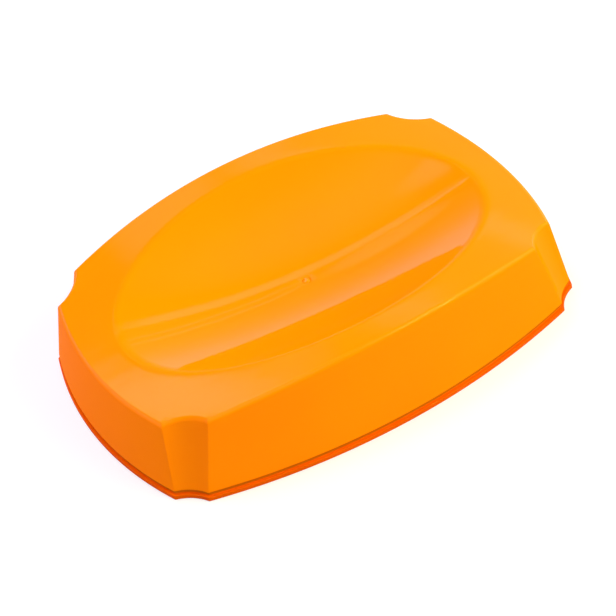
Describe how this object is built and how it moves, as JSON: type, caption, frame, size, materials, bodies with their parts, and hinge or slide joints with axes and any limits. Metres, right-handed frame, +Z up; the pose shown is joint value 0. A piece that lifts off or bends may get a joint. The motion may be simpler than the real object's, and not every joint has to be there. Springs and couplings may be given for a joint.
{
  "type": "soap dish",
  "caption": "Free-standing soap dish: a hollow shell with an oval bowl and scooped corners, lifting off a low base tray.",
  "frame": {"origin": "middle of the dish on the surface that it stands on", "axes": "+X along the length, +Y across the width, +Z up out of the soap bowl"},
  "size_m": [0.135, 0.0942, 0.0284],
  "materials": {
    "shell_plastic": "high-gloss moulded plastic, bright orange, slightly translucent",
    "tray_plastic": "high-gloss moulded plastic, deeper red-orange"
  },
  "bodies": {
    "tray": {"base_tray": "tray_plastic"},
    "dish": {"dish_shell": "shell_plastic"}
  },
  "joints": [
    {"name": "dish_lift", "type": "slide", "parent": "tray", "child": "dish", "axis": [0, 0, 1], "range_m": [0, 0.04]}
  ]
}
